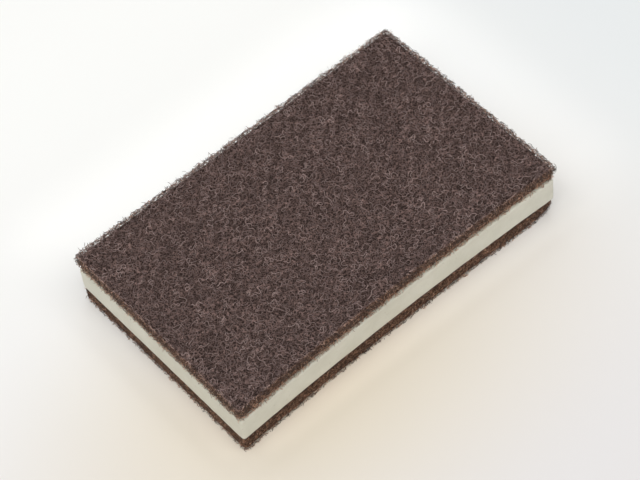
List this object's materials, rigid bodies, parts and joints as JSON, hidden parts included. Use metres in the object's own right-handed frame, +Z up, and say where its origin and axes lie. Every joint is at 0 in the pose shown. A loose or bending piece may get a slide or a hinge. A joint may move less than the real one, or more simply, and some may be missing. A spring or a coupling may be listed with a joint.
{
  "type": "abrasive hand pad",
  "caption": "Rectangular abrasive hand pad: a pale foam core bonded between webs of curly brown abrasive fibre.",
  "frame": {"origin": "the middle of the underside, on the surface that the pad lies on", "axes": "+X along the length, +Y across the width and away from the hollow-cut long side, +Z up through the layers"},
  "size_m": [0.115, 0.07, 0.0208],
  "materials": {
    "abrasive_web": "matt brown web of curly resin-coated fibres",
    "foam": "matt off-white fine-celled foam"
  },
  "bodies": {
    "root": {"lower_web": "abrasive_web", "foam_core": "foam", "upper_web": "abrasive_web"}
  },
  "joints": []
}
